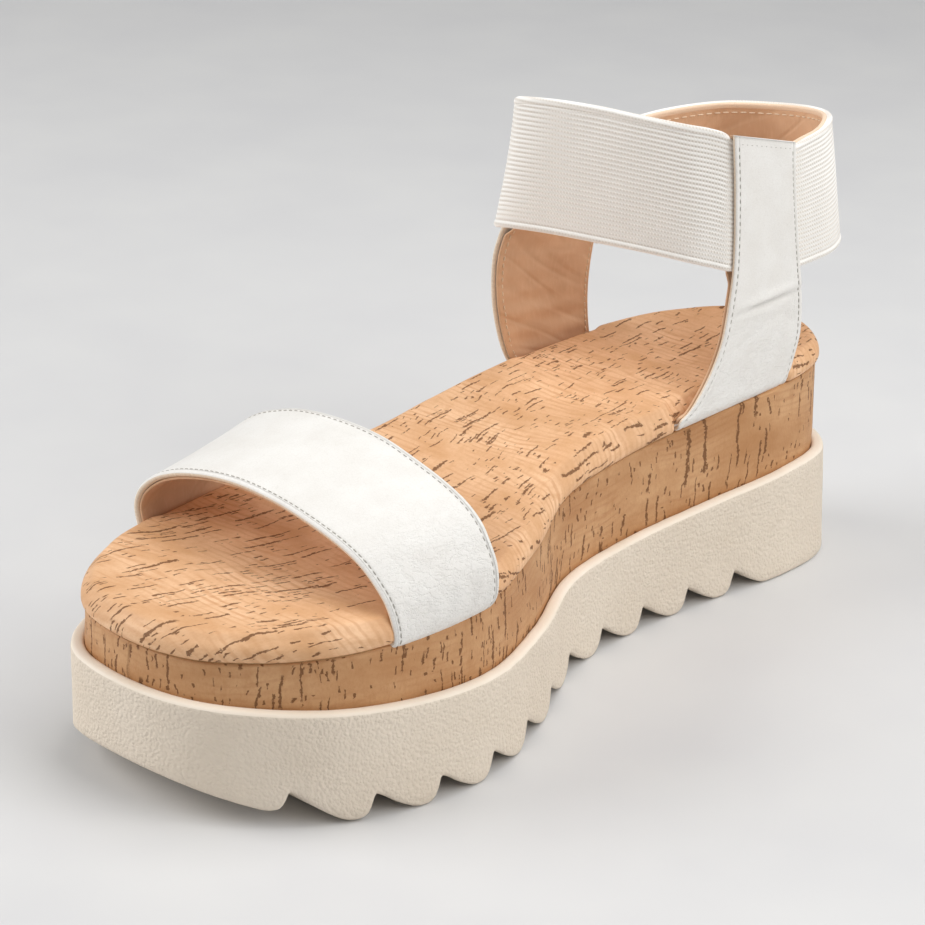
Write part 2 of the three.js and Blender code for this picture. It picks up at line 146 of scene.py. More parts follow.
def make_outline():
    """The sole's edge: SIDE_STEPS points up the arch side, then as many back to the toe."""
    loop = dense_spline(OUTLINE_POINTS, closed=True, per_span=60)
    heel = HEEL_POINT * 60
    arch = resample(loop[:heel + 1], SIDE_STEPS + 1)[:-1]
    outer = resample(loop[heel:], SIDE_STEPS + 1)[:-1]
    return np.vstack([arch, outer])


OUTLINE = make_outline()
RING = len(OUTLINE)
OUTLINE_STEP = np.linalg.norm(np.roll(OUTLINE, -1, axis=0) - OUTLINE, axis=1)
OUTLINE_AT = np.concatenate([[0], np.cumsum(OUTLINE_STEP)[:-1]])
OUTLINE_ALONG = np.roll(OUTLINE, -2, axis=0) - np.roll(OUTLINE, 2, axis=0)
OUTLINE_OUT = unit(OUTLINE_ALONG[:, ::-1] * (1, -1))

_low, _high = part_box("outsole")
SHIFT = np.array([
    _low.x * 1000 - OUTLINE[:, 0].min(),
    (_low.y + _high.y) * 500 - (OUTLINE[:, 1].min() + OUTLINE[:, 1].max()) / 2,
    0.0,
])


def place(points):
    return (np.asarray(points, float) + SHIFT) / 1000


def row_point(x, y, z):
    return Vector(place([x, y, z]))


# ---- Camera ----
def spot(azimuth, elevation, distance):
    """A place round the object, with azimuth 0 in front of the toe and 90 on the arch side."""
    azimuth, elevation = math.radians(azimuth), math.radians(elevation)
    return (distance * math.sin(azimuth) * math.cos(elevation),
            -distance * math.cos(azimuth) * math.cos(elevation), distance * math.sin(elevation))


CAMERA_TURN = (43.35, 22.61, 1.02)  # azimuth, elevation and roll in degrees
CAMERA_TARGET = (-16.045, 9.83, 47.69)
CAMERA_DISTANCE = 0.92963
FOCAL_LENGTH = 125.85


def make_camera():
    azimuth, elevation, roll = CAMERA_TURN
    back = Vector(spot(azimuth, elevation, 1))
    right = Vector(spot(azimuth + 90, 0, 1))
    up = back.cross(right)
    roll = math.radians(roll)
    turned_right = right * math.cos(roll) + up * math.sin(roll)
    turned_up = up * math.cos(roll) - right * math.sin(roll)
    camera = bpy.data.objects.new("camera", bpy.data.cameras.new("camera"))
    bpy.context.collection.objects.link(camera)
    camera.data.lens = FOCAL_LENGTH
    camera.data.sensor_width = 36
    camera.data.clip_start = 0.05
    camera.data.clip_end = 20
    place_at = row_point(*CAMERA_TARGET) + back * CAMERA_DISTANCE
    turn = Matrix((turned_right, turned_up, back)).transposed()
    camera.matrix_world = Matrix.Translation(place_at) @ turn.to_4x4()
    bpy.context.scene.camera = camera


make_camera()


# ---- Node helpers ----
class Nodes:
    """Short calls that add shader nodes to one material."""

    def __init__(self, name):
        self.material = bpy.data.materials.new(name)
        self.material.use_nodes = True
        self.tree = self.material.node_tree
        self.shader = self.tree.nodes["Principled BSDF"]

    def add(self, kind, inputs, **settings):
        """A new node. inputs holds a value or another node's output for each named socket."""
        node = self.tree.nodes.new("ShaderNode" + kind)
        for key, value in settings.items():
            setattr(node, key, value)
        for name, value in inputs.items():
            self.put(node.inputs[name], value)
        return node

    def put(self, socket, value):
        if isinstance(value, bpy.types.NodeSocket):
            self.tree.links.new(value, socket)
        elif socket.type == "RGBA":
            socket.default_value = (*value, 1)
        else:
            socket.default_value = value

    def flat(self):
        """Coordinates in millimetres on the unrolled piece, stored on its mesh."""
        node = self.add("Attribute", {}, attribute_name="flat")
        return self.scaled(node.outputs["Vector"], (1000, 1000, 1000))

    def solid(self):
        """Coordinates in millimetres in the piece's own space."""
        return self.scaled(self.add("TexCoord", {}).outputs["Object"], (1000, 1000, 1000))

    def scaled(self, vector, scale, offset=(0, 0, 0)):
        inputs = {"Vector": vector, "Scale": scale, "Location": offset}
        return self.add("Mapping", inputs).outputs["Vector"]

    def noise(self, vector, scale, detail=2.0, rough=0.5, output="Fac"):
        inputs = {"Vector": vector, "Scale": scale, "Detail": detail, "Roughness": rough}
        return self.add("TexNoise", inputs).outputs[output]

    def voronoi(self, vector, scale, feature="F1"):
        return self.add("TexVoronoi", {"Vector": vector, "Scale": scale}, feature=feature)

    def twist(self, vector, scale, distortion):
        inputs = {"Vector": vector, "Scale": scale, "Distortion": distortion}
        return self.add("TexWave", inputs, bands_direction="DIAGONAL").outputs["Fac"]

    def math(self, operation, a, b=0.0):
        return self.add("Math", {0: a, 1: b}, operation=operation).outputs[0]

    def times(self, a, b):
        return self.math("MULTIPLY", a, b)

    def plus(self, first, *others):
        for other in others:
            first = self.math("ADD", first, other)
        return first

    def minus(self, a, b):
        return self.math("SUBTRACT", a, b)

    def remap(self, value, from_low, from_high, to_low=0.0, to_high=1.0, smooth=False):
        inputs = {0: value, 1: from_low, 2: from_high, 3: to_low, 4: to_high}
        kind = "SMOOTHSTEP" if smooth else "LINEAR"
        return self.add("MapRange", inputs, interpolation_type=kind).outputs[0]

    def mix(self, factor, a, b):
        return self.add("Mix", {0: factor, 6: a, 7: b}, data_type="RGBA").outputs[2]

    def shade(self, value, low, high, first, second):
        """From one sRGB colour to another as the value goes from low to high."""
        return self.mix(self.remap(value, low, high), srgb(*first), srgb(*second))

    def stain(self, color, value, low, high, most, tint):
        """Adds an sRGB tint to a colour, none at the low value and most at the high one."""
        return self.mix(self.remap(value, low, high, 0.0, most), color, srgb(*tint))

    def fold_lines(self, noise, width):
        """0 on the lines where the noise crosses its middle, 1 away from them."""
        return self.remap(self.math("ABSOLUTE", self.minus(noise, 0.5)), 0.0, width, smooth=True)

    def split(self, vector):
        return self.add("SeparateXYZ", {0: vector}).outputs

    def bump(self, height, strength, distance_mm, below=None):
        inputs = {"Height": height, "Strength": strength, "Distance": distance_mm / 1000}
        if below is not None:
            inputs["Normal"] = below
        return self.add("Bump", inputs).outputs["Normal"]

    def finish(self, color, roughness, normal=None, specular=0.5, **others):
        sockets = {"Base Color": color, "Roughness": roughness, "Specular IOR Level": specular}
        if normal is not None:
            sockets["Normal"] = normal
        for name, value in others.items():
            sockets[name.replace("_", " ")] = value
        for name, value in sockets.items():
            self.put(self.shader.inputs[name], value)
        return self.material


def srgb(red, green, blue):
    """An sRGB colour, 0 to 255, as the linear values that the shaders use."""
    def linear(c):
        c = c / 255
        return c / 12.92 if c <= 0.04045 else ((c + 0.055) / 1.055) ** 2.4
    return (linear(red), linear(green), linear(blue))


# ---- Materials ----
GROWTH_LINE_PITCH = 2.3


def tinted(color, factors):
    return tuple(min(1, c * f) for c, f in zip(color, factors))


def cork_material(name, base, size, density, line_strength):
    """Cork veneer: dark ragged cracks run along flat Y, fine growth lines cross them."""
    n = Nodes(name)
    flat = n.flat()
    drift = n.noise(flat, 0.05, 2, 0.5, "Color")
    warped = n.add("VectorMath", {0: drift, 1: (7, 5, 0), 2: flat}, operation="MULTIPLY_ADD").outputs[0]
    ragged = n.noise(flat, 0.9, 3, 0.65)
    wander = n.noise(n.scaled(flat, (1, 0.6, 1), (17, 5, 0)), 0.55, 3, 0.6)

    def cracks(wide, long, share, half_width, offset):
        """One crack at most in each cell of that size, in millimetres."""
        at = n.scaled(warped, (1 / wide, 1 / long, 1), offset)
        cells = n.voronoi(at, 1.0)
        chosen = n.split(cells.outputs["Color"])
        apart = n.add("VectorMath", {0: at, 1: cells.outputs["Position"]}, operation="SUBTRACT")
        away = n.split(apart.outputs[0])
        sway = n.times(n.minus(wander, 0.5), 1.5)
        aside = n.math("ABSOLUTE", n.plus(n.times(away[0], wide), sway))
        beyond = n.math("ABSOLUTE", away[1])
        width = n.times(n.remap(chosen[2], 0, 1, half_width * 0.55, half_width * 1.5),
                        n.remap(ragged, 0.32, 0.7, 0.1, 1.7))
        length = n.remap(chosen[1], 0, 1, 0.14, 0.42)
        thin = n.remap(n.minus(width, aside), -0.09, 0.12, smooth=True)
        ends = n.remap(n.minus(length, beyond), -0.02, 0.05, smooth=True)
        crowd = n.noise(n.scaled(flat, (0.55, 1.2, 1), offset), 0.05, 2, 0.6)
        limit = n.times(n.remap(crowd, 0.42, 0.6, 0.08, 1.0), share)
        return n.times(n.times(thin, ends), n.math("LESS_THAN", chosen[0], limit))

    dark = n.math("MAXIMUM", cracks(2.6 * size, 9.0 * size, density, 0.22 * size, (3, 7, 0)),
                  cracks(4.6 * size, 17.0 * size, density * 0.8, 0.3 * size, (31, 12, 0)))
    dark = n.math("MAXIMUM", dark, cracks(1.5 * size, 3.6, density * 0.5, 0.18 * size, (11, 43, 0)))
    halo = n.noise(n.scaled(warped, (1, 0.35, 1)), 0.28, 3, 0.6)
    bend = n.times(n.noise(n.scaled(flat, (0.6, 1, 1)), 0.03, 2, 0.5), 16)
    jitter = n.times(n.noise(n.scaled(flat, (0.15, 1, 1)), 0.5, 3, 0.6), 2.6)
    run = n.plus(n.split(flat)[1], bend, jitter)
    lines = n.math("SINE", n.times(run, 2 * math.pi / GROWTH_LINE_PITCH))
    patch = n.remap(n.noise(n.scaled(flat, (0.6, 1, 1)), 0.06, 4, 0.65), 0.4, 0.66, 0.05, 1.0)
    thin_lines = n.times(n.remap(lines, -0.1, 1.0), patch)
    broad = n.noise(n.scaled(flat, (0.5, 1, 1)), 0.06, 3, 0.6)
    grain = n.noise(n.scaled(flat, (0.7, 0.5, 1)), 1.9, 4, 0.7)
    deep = tinted(base, (0.8, 0.7, 0.58))
    pale = tinted(base, (1.08, 1.12, 1.16))
    line_color = tinted(base, (0.68, 0.5, 0.36))
    color = n.mix(n.remap(broad, 0.32, 0.68), deep, pale)
    color = n.mix(n.remap(halo, 0.52, 0.72, 0.0, 0.55), color, deep)
    color = n.mix(n.times(thin_lines, line_strength), color, line_color)
    color = n.mix(n.remap(grain, 0.45, 0.8, 0.0, 0.35), color, line_color)
    color = n.mix(n.times(dark, 0.84), color, srgb(108, 66, 30))
    height = n.minus(n.times(grain, 0.45), n.times(dark, 1.1))
    height = n.minus(height, n.times(thin_lines, 0.2))
    normal = n.bump(height, 0.6, 0.4)
    roughness = n.remap(n.plus(grain, n.times(dark, 0.6)), 0.3, 1.3, 0.5, 0.75)
    return n.finish(color, roughness, normal, 0.4)


def eva_material():
    n = Nodes("cream_eva")
    at = n.solid()
    pebble = n.voronoi(at, 1.05, "SMOOTH_F1")
    pebble.inputs["Smoothness"].default_value = 0.35
    fine = n.noise(at, 2.0, 3, 0.6)
    creased = n.noise(at, 0.75, 3, 0.6)
    pebbled = n.times(pebble.outputs["Distance"], -0.8)
    height = n.plus(n.times(fine, 0.5), n.times(creased, 0.7), pebbled)
    blotch = n.noise(at, 0.03, 3, 0.6)
    color = n.shade(blotch, 0.35, 0.7, (233, 220, 203), (226, 212, 194))
    color = n.stain(color, fine, 0.55, 0.8, 0.12, (204, 190, 170))
    return n.finish(color, n.remap(fine, 0.3, 0.7, 0.6, 0.78), n.bump(height, 0.8, 0.5), 0.4)


def lip_highlight_material():
    # Painted highlight: the lip is the outsole's own cream, painted paler for the light along its rounded
    # top.
    n = Nodes("cream_lip_painted_highlight")
    at = n.solid()
    fine = n.noise(at, 1.2, 3, 0.55)
    color = n.shade(n.noise(at, 0.05, 2), 0.35, 0.7, (246, 234, 218), (239, 226, 208))
    return n.finish(color, n.remap(fine, 0.3, 0.7, 0.5, 0.66), n.bump(fine, 0.2, 0.2), 0.4)


def leather_material():
    n = Nodes("white_leather")
    flat = n.flat()
    cells = n.voronoi(flat, 1.15, "DISTANCE_TO_EDGE")
    fine = n.noise(flat, 1.6, 4, 0.6)
    broad = n.noise(flat, 0.09, 3, 0.6)
    pores = n.remap(cells.outputs["Distance"], 0.0, 0.12, smooth=True)
    height = n.plus(n.times(pores, 0.35), n.times(fine, 0.6), n.times(broad, 0.4))
    worn = n.remap(n.split(flat)[0], 14, 50, 1.0, 0.1, smooth=True)  # most crumpled near the sole
    folded = n.noise(n.scaled(flat, (1, 0.55, 1)), 0.45, 4, 0.65)
    creases = n.times(n.fold_lines(folded, 0.08), worn)
    color = n.shade(broad, 0.35, 0.68, (240, 238, 234), (234, 231, 226))
    # painted shade: the grain's crevices between cells, where the bump is lowest, are darkened
    color = n.stain(color, pores, 0.5, 0.0, 0.2, (208, 203, 195))
    normal = n.bump(creases, 0.4, 0.3, n.bump(height, 0.16, 0.22))
    return n.finish(color, n.remap(fine, 0.3, 0.7, 0.34, 0.48), normal)


def lining_material():
    n = Nodes("tan_lining")
    flat = n.flat()
    streak = n.noise(n.scaled(flat, (0.25, 1, 1)), 0.9, 4, 0.6)
    broad = n.noise(flat, 0.06, 3, 0.6)
    nap = n.noise(flat, 4.0, 3, 0.7)
    along, across = n.split(flat)[:2]
    slanted = n.add("CombineXYZ", {0: n.plus(along, n.times(across, 0.55)), 1: across})
    folded = n.noise(n.scaled(slanted.outputs[0], (1, 0.3, 1)), 0.075, 1, 0.5)
    creases = n.fold_lines(folded, 0.07)
    color = n.shade(broad, 0.3, 0.7, (224, 186, 152), (208, 168, 134))
    color = n.stain(color, streak, 0.5, 0.8, 0.35, (233, 202, 171))
    # painted shade: darker along the crease lines, where the bump folds in
    color = n.stain(color, creases, 0.5, 0.0, 0.12, (176, 130, 92))
    height = n.plus(n.times(nap, 0.4), n.times(streak, 0.6))
    normal = n.bump(creases, 0.3, 0.6, n.bump(height, 0.3, 0.25))
    return n.finish(color, n.remap(nap, 0.3, 0.7, 0.62, 0.82), normal, 0.3,
                    Sheen_Weight=0.15, Sheen_Roughness=0.5)


def edge_material():
    """The painted cut edge of the leather."""
    n = Nodes("leather_edge")
    fuzz = n.noise(n.scaled(n.flat(), (0.6, 1, 1)), 2.2, 3, 0.65)
    color = n.shade(fuzz, 0.3, 0.7, (238, 224, 206), (218, 200, 178))
    return n.finish(color, 0.72, n.bump(fuzz, 0.4, 0.15), 0.3)


def rim_material():
    n = Nodes("pale_rim")
    nap = n.noise(n.flat(), 2.5, 3, 0.6)
    color = n.shade(nap, 0.3, 0.7, (240, 216, 192), (230, 202, 174))
    return n.finish(color, 0.7, n.bump(nap, 0.3, 0.2), 0.3)


def elastic_material():
    """Woven elastic: cords along the band (real ribs on the mesh) crossed by fine threads, with painted
    shade in stripes for the grooves between them.
    """
    n = Nodes("white_elastic")
    flat = n.flat()
    parts = n.split(flat)
    across = n.math("SINE", n.times(parts[0], 2 * math.pi / WEFT_PITCH))
    rib = n.math("SINE", n.times(parts[1], 2 * math.pi / RIB_PITCH))
    phase = n.times(n.math("GREATER_THAN", rib, 0.0), math.pi)
    weft = n.math("SINE", n.plus(n.times(parts[0], 2 * math.pi / WEFT_PITCH), phase))
    fuzz = n.noise(flat, 3.2, 3, 0.7)
    soil = n.noise(flat, 0.05, 3, 0.6)
    height = n.plus(n.times(across, 0.2), n.times(weft, 0.4), n.times(fuzz, 0.5))
    # painted shade: a darker warm grey in stripes at the cord and thread spacing, for the shade in the
    # weave's grooves
    shade = n.remap(n.plus(n.times(weft, 0.4), rib), -1.2, 0.6)
    color = n.mix(shade, srgb(226, 219, 210), srgb(252, 250, 246))
    color = n.stain(color, soil, 0.4, 0.75, 0.2, (236, 232, 224))
    return n.finish(color, 0.78, n.bump(height, 0.4, 0.2), 0.25,
                    Sheen_Weight=0.12, Sheen_Roughness=0.4)


def thread_material(name, light, dark):
    n = Nodes(name)
    twist = n.twist(n.solid(), 1.2, 0.6)
    return n.finish(n.mix(twist, light, dark), 0.6, n.bump(twist, 0.4, 0.08), 0.3)


def foam_material():
    n = Nodes("eva_foam")
    at = n.solid()
    cells = n.voronoi(at, 1.4).outputs["Distance"]
    color = n.shade(n.noise(at, 0.2, 3), 0.3, 0.7, (228, 216, 190), (214, 200, 172))
    # painted shade: darker in the cell pits, where the bump is lowest
    color = n.mix(n.remap(cells, 0.0, 0.3, 0.35, 0.0), color, srgb(180, 164, 136))
    return n.finish(color, 0.88, n.bump(cells, 0.5, 0.3), 0.2)


def board_material():
    n = Nodes("fibreboard")
    fibres = n.noise(n.scaled(n.solid(), (0.4, 1, 1)), 1.1, 5, 0.7)
    color = n.shade(fibres, 0.3, 0.72, (190, 150, 106), (150, 112, 74))
    return n.finish(color, 0.86, n.bump(fibres, 0.35, 0.25), 0.2)


def steel_material():
    n = Nodes("rolled_steel")
    brushed = n.noise(n.scaled(n.solid(), (3, 0.12, 1)), 1.5, 4, 0.6)
    color = n.shade(brushed, 0.3, 0.7, (168, 170, 174), (136, 138, 143))
    return n.finish(color, n.remap(brushed, 0.3, 0.7, 0.28, 0.44), n.bump(brushed, 0.15, 0.1),
                    Metallic=1.0)


def floor_material():
    n = Nodes("pale_floor")
    speck = n.noise(n.solid(), 0.02, 2)
    color = n.shade(speck, 0.3, 0.7, (218, 218, 218), (214, 214, 215))
    return n.finish(color, 0.6, specular=0.2)


FOOTBED_CORK = cork_material("cork_footbed", srgb(237, 193, 152), 1.25, 0.8, 0.62)
WALL_CORK = cork_material("cork_wall", srgb(203, 156, 111), 1.6, 0.92, 0.35)
EVA = eva_material()
LIP_HIGHLIGHT = lip_highlight_material()
WHITE_LEATHER = leather_material()
TAN_LINING = lining_material()
PALE_RIM = rim_material()
WHITE_ELASTIC = elastic_material()
CUT_EDGE = edge_material()
GREY_THREAD = thread_material("grey_thread", srgb(196, 192, 185), srgb(154, 149, 142))
CREAM_THREAD = thread_material("cream_thread", srgb(244, 224, 200), srgb(220, 196, 168))
FOAM = foam_material()
BOARD = board_material()
STEEL = steel_material()


# ---- Mesh helpers ----
def make_piece(name, verts, faces, material, flat=None, second=None):
    """A smooth-shaded mesh. second is (material, face numbers) for a part of it."""
    mesh = bpy.data.meshes.new(name)
    mesh.from_pydata(place(verts).tolist(), [], faces)
    mesh.polygons.foreach_set("use_smooth", [True] * len(mesh.polygons))
    if flat is not None:
        layer = mesh.attributes.new("flat", "FLOAT_VECTOR", "POINT")
        layer.data.foreach_set("vector", (np.asarray(flat, float) / 1000).astype(np.float32).ravel())
    mesh.materials.append(material)
    if second is not None:
        mesh.materials.append(second[0])
        chosen = np.zeros(len(mesh.polygons), dtype=np.int32)
        chosen[list(second[1])] = 1
        mesh.polygons.foreach_set("material_index", chosen)
    mesh.validate()
    mesh.update()
    piece = bpy.data.objects.new(name, mesh)
    bpy.context.collection.objects.link(piece)
    return piece


def grid_faces(rows, columns, wrap_rows=False, wrap_columns=False, flip=False):
    """Quads over a grid of points numbered row by row."""
    i = np.arange(rows if wrap_rows else rows - 1)[:, None]
    j = np.arange(columns if wrap_columns else columns - 1)[None, :]
    i2, j2 = (i + 1) % rows, (j + 1) % columns
    corners = [i * columns + j, i * columns + j2, i2 * columns + j2, i2 * columns + j]
    if flip:
        corners.reverse()
    return [tuple(f) for f in np.stack([c.ravel() for c in corners], axis=1).tolist()]


def ring_points(inset, height):
    """One ring round the sole. inset and height are numbers or arrays of RING values."""
    xy = OUTLINE - OUTLINE_OUT * np.reshape(np.broadcast_to(inset, RING), (RING, 1))
    return np.column_stack([xy, np.broadcast_to(height, RING)])


def fill_ring(verts, faces, rings, columns, height, last=False):
    """Fills the first or the last ring by straight lines from the arch side to the outer side.
    Adds to faces and returns the points with the new ones after them."""
    ring = rings[-1] if last else rings[0]
    first = (len(rings) - 1) * RING if last else 0
    half = RING // 2
    share = (np.arange(1, columns) / columns)[None, :, None]
    inner = ring[1:half][:, None, :] * (1 - share) + ring[:half:-1][:, None, :] * share
    inner[..., 2] = height(inner[..., 0], inner[..., 1])

    def index(row, column):
        if column == 0:
            return first + row
        if column == columns:
            return first + RING - row
        return len(verts) + (row - 1) * (columns - 1) + column - 1
    found = []
    for row in range(1, half - 1):
        for column in range(columns):
            found.append((index(row, column), index(row + 1, column),
                          index(row + 1, column + 1), index(row, column + 1)))
    for column in range(columns):
        found.append((first, index(1, column), index(1, column + 1)))
        found.append((first + half, index(half - 1, column + 1), index(half - 1, column)))
    faces += found if last else [f[::-1] for f in found]
    return np.vstack([verts, inner.reshape(-1, 3)])


def hash_noise(points, scale, seed, octaves=2):
    """Smooth, repeatable noise, about -1 to 1, from sums of sine waves."""
    rng = np.random.default_rng(seed)
    total = np.zeros(points.shape[:-1])
    for octave in range(octaves):
        for _ in range(5):
            direction = unit(rng.normal(size=points.shape[-1]))
            rate = 2 * math.pi / scale * 2 ** octave * rng.uniform(0.7, 1.3)
            total += np.sin(points @ direction * rate + rng.uniform(0, 6.28)) / 5 / 2 ** octave
    return total


# ---- Outsole ----
# One lug from a notch towards the heel: (share of the pitch, share of the depth).
LUG_SHARES = [
    (0, 1), (0.035, 0.98), (0.08, 0.92), (0.17, 0.77), (0.32, 0.46), (0.48, 0.2), (0.6, 0.05),
    (0.7, 0), (0.79, 0.02), (0.87, 0.13), (0.925, 0.36), (0.955, 0.64), (0.975, 0.86), (0.99, 0.97),
    (1, 1),
]


def fine_lug():
    curve = resample(dense_spline([(a, b, 0) for a, b in LUG_SHARES]), 80)
    order = np.argsort(curve[:, 0])
    return [(float(a), float(b)) for a, b in curve[order][:, :2]]


LUG_CURVE = fine_lug()


def tread_height(y):
    """Height of the tread above the ground along the sole."""
    y = np.asarray(y, float)
    step = (y - LUG_FIRST_NOTCH) / LUG_PITCH
    share = np.interp(step % 1, *zip(*LUG_CURVE))
    share = np.where((step < -0.3) | (step > LUG_COUNT + 0.7), 0, share)
    bevel = np.interp(y, (HALF_LENGTH - 4, HALF_LENGTH), (0, 1.5))
    return toe_spring(y) + LUG_DEPTH * share + bevel


def build_outsole():
    wall_levels = 12
    rings = []
    bottom = tread_height(OUTLINE[:, 1])
    flare = 1.3 * smoothstep(50, 125, OUTLINE[:, 1])
    for inset, up in ((1.6, 0.0), (0.8, 0.12), (0.25, 0.5)):
        ring = ring_points(inset - flare, 0)
        ring[:, 2] = tread_height(ring[:, 1]) + up
        rings.append(ring)
    top = rim_height(OUTLINE[:, 1])
    low, high = bottom + 1.1, top - 1.3
    for share in np.linspace(0, 1, wall_levels + 1):
        rings.append(ring_points(0.05 - flare * (1 - share), low + (high - low) * share))
    lip_start = len(rings)
    for inset, up in ((0.16, -0.75), (0.42, -0.35), (0.85, -0.08), (1.4, 0.05), (2.2, 0.1),
                      (3.0, 0.02), (3.5, -0.3), (3.75, -0.8), (3.8, -2.0)):
        rings.append(ring_points(inset, top + up))
    lip_end = len(rings) - 1
    rings.append(ring_points(3.8, SEAT))
    verts = np.vstack(rings)
    verts[:, :2] += 0.06 * hash_noise(verts, 9.0, 3)[:, None] * np.tile(OUTLINE_OUT, (len(rings), 1))
    faces = grid_faces(len(rings), RING, wrap_columns=True)
    lip_faces = range(lip_start * RING, lip_end * RING)
    verts = fill_ring(verts, faces, rings, 26, lambda x, y: tread_height(y))
    verts = fill_ring(verts, faces, rings, 14, lambda x, y: SEAT, last=True)
    # The lip rings take the paler lip material, a painted highlight on the outsole's cream.
    piece = make_piece("outsole_moulding", verts, faces, EVA, second=(LIP_HIGHLIGHT, lip_faces))
    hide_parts("outsole")
    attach(piece, "sole")


# ---- Cork wrap ----
def build_wrap():
    levels, back = 16, 7.4
    low = rim_height(OUTLINE[:, 1]) - 3
    high = seam_height(OUTLINE[:, 1]) - 0.2
    rings, flats = [], []
    for share in np.linspace(0, 1, levels + 1):
        bulge = 0.25 * math.sin(math.pi * share) + 0.12 * math.sin(2 * math.pi * share)
        up = low + (high - 0.9 - low) * share
        rings.append(ring_points(LIP_WIDTH + 0.1 - bulge, up))
        flats.append(np.column_stack([OUTLINE_AT, up, 0 * low]))
    for inset, down in ((4.25, 0.45), (4.7, 0.12), (5.4, 0.0), (back, 0.0)):
        rings.append(ring_points(inset, high - down))
        flats.append(np.column_stack([OUTLINE_AT, high + inset - 4, 0 * low]))
    for height in (high - 1, low):  # down the inner face
        rings.append(ring_points(back, height))
        flats.append(np.column_stack([OUTLINE_AT, high + 4, 0 * low]))
    verts = np.vstack(rings)
    lift = 0.12 * hash_noise(np.vstack(flats) * (1, 1.6, 1), 26.0, 5)
    verts[:, :2] += lift[:, None] * np.tile(OUTLINE_OUT, (len(rings), 1))
    faces = grid_faces(len(rings), RING, wrap_rows=True, wrap_columns=True)
    piece = make_piece("wedge_wrap", verts, faces, WALL_CORK, flat=np.vstack(flats))
    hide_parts("wedge_cork_wrap")
    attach(piece, "sole")


# ---- Footbed ----
TOE_SPAN = (-88.5, -57)
ARCH_SPAN = (54, 101.5)
OUTER_SPAN = (53.5, 87.5)
UNDER_GAP = 0.25
# Each strap's span, its side of the sole and how deep the footbed's edge steps in behind it.
STRAP_ENDS = ((TOE_SPAN, 1, 3.2), (TOE_SPAN, -1, 1.6), (ARCH_SPAN, 1, 3.2), (OUTER_SPAN, -1, 1.6))


def strap_room(y, x):
    """How far the footbed's edge steps in behind the straps at a point of the outline."""
    room = np.zeros_like(y)
    for (start, end), side, depth in STRAP_ENDS:
        inside = smoothstep(start - 1.5, start + 2.5, y) * (1 - smoothstep(end - 2.5, end + 1.5, y))
        room = np.maximum(room, depth * inside * (np.sign(x) == side))
    return room


def bed_height(x, y):
    """Top of the footbed over its middle: a heel cup, an arch rise and a low toe pad."""
    heel_cup = -0.85 * np.exp(-(((x + 3) / 22) ** 2 + ((y - 88) / 32) ** 2))
    arch = 1.5 * np.exp(-(((x - 20) / 12) ** 2 + ((y - 22) / 34) ** 2))
    ball = -0.7 * np.exp(-(((x - 8) / 30) ** 2 + ((y + 72) / 26) ** 2))
    toe_ridge = 0.5 * np.exp(-(((y + 104) / 7) ** 2))
    back = -0.9 * smoothstep(96, 128, y)
    return seam_height(y) + FOOTBED_HEIGHT + 0.35 + heel_cup + arch + ball + toe_ridge + back


def fleck_shift(y):
    """Sideways shift of the veneer, so that its cracks turn with the foot along the sole."""
    at = np.arange(-HALF_LENGTH - 15, HALF_LENGTH + 16.0)
    turn = 0.5 * (1 - smoothstep(-100, -40, at)) - 0.24 * np.exp(-((at + 2) / 34) ** 2)
    return np.interp(y, at, np.cumsum(turn))


def build_footbed():
    room = strap_room(OUTLINE[:, 1], OUTLINE[:, 0])
    seam = seam_height(OUTLINE[:, 1])
    radius_x, radius_z = 6.2, 5.0
    profile = [(4.2, 0.25), (3.6, 0.35), (3.25, 0.7), (3.1, 1.3)]
    for angle in np.linspace(0, math.pi / 2, 15):
        profile.append((3.1 + radius_x * (1 - math.cos(angle)), 1.9 + radius_z * math.sin(angle)))
    total = sum(math.dist(a, b) for a, b in zip(profile, profile[1:]))
    rings = [ring_points(9.0, seam + UNDER_GAP)]
    outward = [total + 4.8]  # each ring's distance over the veneer from the shoulder
    spent = 0.0
    before = profile[0]
    for inset, up in profile:
        spent += math.dist(before, (inset, up))
        before = (inset, up)
        top_share = smoothstep(5.5, FOOTBED_HEIGHT + 0.3, up)
        ring = ring_points(inset + room, 0)
        ring[:, 2] = (seam + up) * (1 - top_share) + top_share * bed_height(ring[:, 0], ring[:, 1])
        rings.append(ring)
        outward.append(total - spent)
    shoulder = profile[-1][0] + room
    for step in (1.5, 3.2, 5.2, 7.5):
        ring = ring_points(shoulder + step, 0)
        ring[:, 2] = bed_height(ring[:, 0], ring[:, 1])
        rings.append(ring)
        outward.append(-step)
    faces = grid_faces(len(rings), RING, wrap_columns=True)
    verts = fill_ring(np.vstack(rings), faces, rings, 30, bed_height, last=True)
    verts = fill_ring(verts, faces, rings, 12, lambda x, y: seam_height(y) + UNDER_GAP)
    flat = verts * (1, 1, 0)
    for k, distance in enumerate(outward):
        flat[k * RING:(k + 1) * RING, :2] = ring_points(shoulder, 0)[:, :2] + OUTLINE_OUT * distance
    flat[:, 0] -= fleck_shift(flat[:, 1])
    verts[:, 2] += 0.12 * hash_noise(verts * (1, 1, 0), 24.0, 11)
    piece = make_piece("footbed_pad", verts, faces, FOOTBED_CORK, flat=flat)
    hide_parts("footbed_cork_cover")
    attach(piece, "sole")


# ---- Straps ----
RIBBON_STEP = 0.9


